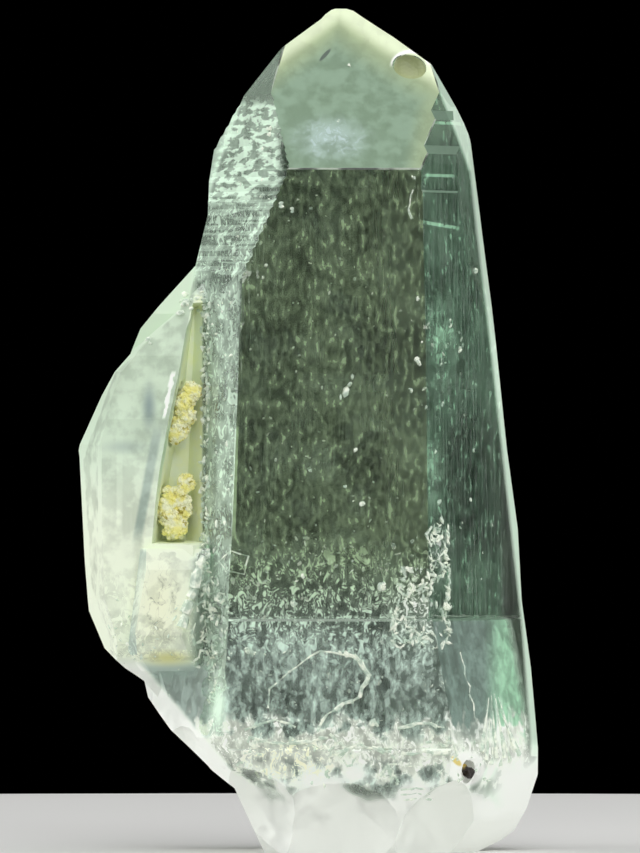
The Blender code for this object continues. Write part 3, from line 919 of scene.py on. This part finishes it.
# %% Square inclusion
rng = random.Random(9)
square = bmesh.new()
CORNERS = ((-4.2, 13.8), (-3.6, 14.3), (-2.8, 14.05), (-3.0, 13.2), (-3.8, 13.4), (-4.2, 13.8))
thread(square, under_line(CORNERS, SKIN, 0.4, 0.03, rng), 0.04, rng)
place_piece("square_inclusion", square, "clear_quartz", crack_finish)

# %% [markdown]
# ## The ochre crusts
# Two clots of a yellow-ochre mineral cling in the groove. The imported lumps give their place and
# size. Each one is a heap of hundreds of tiny angular grains. Bumps in the finish alone would leave
# the outline smooth, so grains are set all over the lump, each turned at random and a little squashed.

# %% Ochre finish
ochre_finish, paint = new_finish("ochre_crust")
point = point_mm(paint)
lump = grain(point, 2.4, detail=3.0)
# The pits and crevices below are darkened as painted shade between the grains.
pit = grain(point, 2.0, detail=3.0).rise(0.4, 0.34)
crevice = 0.5 * abs(grain(point, 1.3) - 0.5).rise(0.018, 0.0)
colour = tint(paint, (1.0, 0.94, 0.34), (1.0, 1.0, 0.72), lump.rise(0.38, 0.62))
# Painted shade: darker brown in the pits and crevices between the grains.
colour = tint(paint, colour, (0.55, 0.47, 0.10), pit.most(crevice))
rough = paint.node(
    "ShaderNodeBump", {}, {"Strength": 0.6, "Distance": 0.05 * MM, "Height": grain(point, 9.0)}
)
ochre = paint.node(
    "ShaderNodeBsdfPrincipled",
    {},
    {"Base Color": colour, "Roughness": 0.45 + 0.4 * lump, "Normal": rough},
)
paint.node("ShaderNodeOutputMaterial", {}, {"Surface": ochre})
tell_nodes("ochre", paint)


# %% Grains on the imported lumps
def grainy_crust(name, node, count, seed):
    """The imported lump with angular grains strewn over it."""
    rng = random.Random(seed)
    crust = millimetre_copy(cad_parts[node])
    seats = [(face.calc_center_median(), face.normal.copy()) for face in crust.faces]
    for middle, way in rng.choices(seats, k=count):
        size = rng.uniform(0.07, 0.17)
        shape = (size, size * rng.uniform(0.6, 1.0), size * rng.uniform(0.7, 1.2))
        flake(crust, middle + way * rng.uniform(-0.06, 0.05), shape, rng)
    piece = place_piece(name, crust, "ochre_crust", ochre_finish)
    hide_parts(node)
    return piece


grainy_crust("ochre_grains_upper", "ochre_crust_upper", 420, 11)
grainy_crust("ochre_grains_lower", "ochre_crust_lower", 560, 12)

# %% [markdown]
# ## The brown grain
# A dark brown mineral grain sits in a pit low on the right, with a golden edge. Its packed lumps are
# subdivided and pushed in and out with noise, so that it looks broken and not blown.

# %% Brown finish
GRAIN_ACROSS, GRAIN_UP = 7.36, 4.0
brown_finish, paint = new_finish("brown_mineral")
point = point_mm(paint)
x, _, z = point.parts()
upper_left = (z - x + GRAIN_ACROSS - GRAIN_UP + 0.5 * grain(point, 3.0)).rise(0.2, 0.5)
colour = tint(paint, (0.012, 0.007, 0.003), (0.75, 0.56, 0.12), upper_left)
brown = paint.node("ShaderNodeBsdfPrincipled", {}, {"Base Color": colour, "Roughness": 0.4})
paint.node("ShaderNodeOutputMaterial", {}, {"Surface": brown})
tell_nodes("brown mineral", paint)

# %% Brown grain
BREAK_DEPTH, BREAK_PER_MM = 0.07, 6.0
brown_grain = millimetre_copy(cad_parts["brown_grain"])
bmesh.ops.triangulate(brown_grain, faces=brown_grain.faces)
bmesh.ops.subdivide_edges(brown_grain, edges=brown_grain.edges, cuts=1, use_grid_fill=True)
for vert in brown_grain.verts:
    vert.co += vert.normal * BREAK_DEPTH * noise.noise(vert.co * BREAK_PER_MM)
broken = place_piece("brown_grain_broken", brown_grain, "brown_mineral", brown_finish)
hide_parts("brown_grain")

# %% [markdown]
# ## The studio
# The crystal stands on a plain pale floor. A clear stone shows what lies around it, so it is lit by
# large soft panels beside and above it, and the space straight behind it stays dark. That makes its
# edges and inner flecks shine against a dark middle.

# %% Floor
FLOOR_RADIUS = 110.0
floor_shape = bmesh.new()
bmesh.ops.create_circle(floor_shape, cap_ends=True, segments=96, radius=FLOOR_RADIUS * MM)
floor_data = bpy.data.meshes.new("floor")
floor_shape.to_mesh(floor_data)
floor_shape.free()
floor = bpy.data.objects.new("floor", floor_data)
bpy.context.scene.collection.objects.link(floor)
floor_finish, paint = new_finish("floor_pale")
matt = paint.node(
    "ShaderNodeBsdfPrincipled", {}, {"Base Color": (0.8, 0.8, 0.78, 1.0), "Roughness": 0.6}
)
paint.node("ShaderNodeOutputMaterial", {}, {"Surface": matt})
floor_data.materials.append(floor_finish)
floor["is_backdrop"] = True
print("floor radius:", FLOOR_RADIUS, "mm")


# %% Soft panels
AIM = Vector((0.0, 0.0, 0.02))


def soft_panel(name, place, wide, tall, watts):
    """A large flat light at a place in metres that faces the crystal, and that the camera can't see."""
    lamp = bpy.data.lights.new(name, "AREA")
    lamp.shape, lamp.size, lamp.size_y = "RECTANGLE", wide, tall
    lamp.energy = watts
    panel = bpy.data.objects.new(name, lamp)
    panel.location = place
    panel.rotation_euler = (AIM - panel.location).to_track_quat("-Z", "Y").to_euler()
    panel.visible_camera = False
    bpy.context.scene.collection.objects.link(panel)
    print(f"{name}: {wide} by {tall} m, {watts} W")


soft_panel("panel_top", (0.0, -0.08, 0.42), 0.45, 0.45, 1.4)
soft_panel("panel_back_right", (0.42, 0.46, 0.12), 0.32, 0.5, 0.18)
soft_panel("panel_left", (-0.6, -0.05, 0.16), 0.4, 0.5, 2.6)
soft_panel("panel_right", (0.6, -0.05, 0.16), 0.4, 0.5, 1.8)
soft_panel("panel_front", (0.15, -0.75, 0.45), 0.5, 0.4, 2.4)

# %% The dark room
world = bpy.data.worlds.new("dark_room")
world.use_nodes = True
world.node_tree.nodes["Background"].inputs["Color"].default_value = (0.0, 0.0, 0.0, 1.0)
bpy.context.scene.world = world
bpy.context.scene.view_settings.view_transform = "Standard"
print("view transform:", bpy.context.scene.view_settings.view_transform)

# %% [markdown]
# ## The camera
# The stone is seen level and from straight in front. A short lens close by would spread its edges
# apart, and a long lens far away keeps them parallel. The lens follows from the height that the frame
# takes in at the crystal.

# %% Camera
CAMERA_AWAY = 0.7
CAMERA_ASIDE, CAMERA_UP = 0.57, 20.16
FRAME_TALL = 40.52
camera_data = bpy.data.cameras.new("camera")
camera_data.sensor_width = 36.0
camera_data.lens = camera_data.sensor_width * CAMERA_AWAY / (FRAME_TALL * MM)
camera = bpy.data.objects.new("camera", camera_data)
camera.location = (CAMERA_ASIDE * MM, -CAMERA_AWAY, CAMERA_UP * MM)
camera.rotation_euler = (math.radians(90.0), 0.0, 0.0)
bpy.context.scene.collection.objects.link(camera)
bpy.context.scene.camera = camera
print("lens:", round(camera_data.lens), "mm")

# %% Sizes of the finished model
low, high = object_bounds()
print("finished box in mm:", [round(v / MM, 2) for v in (*low, *high)])
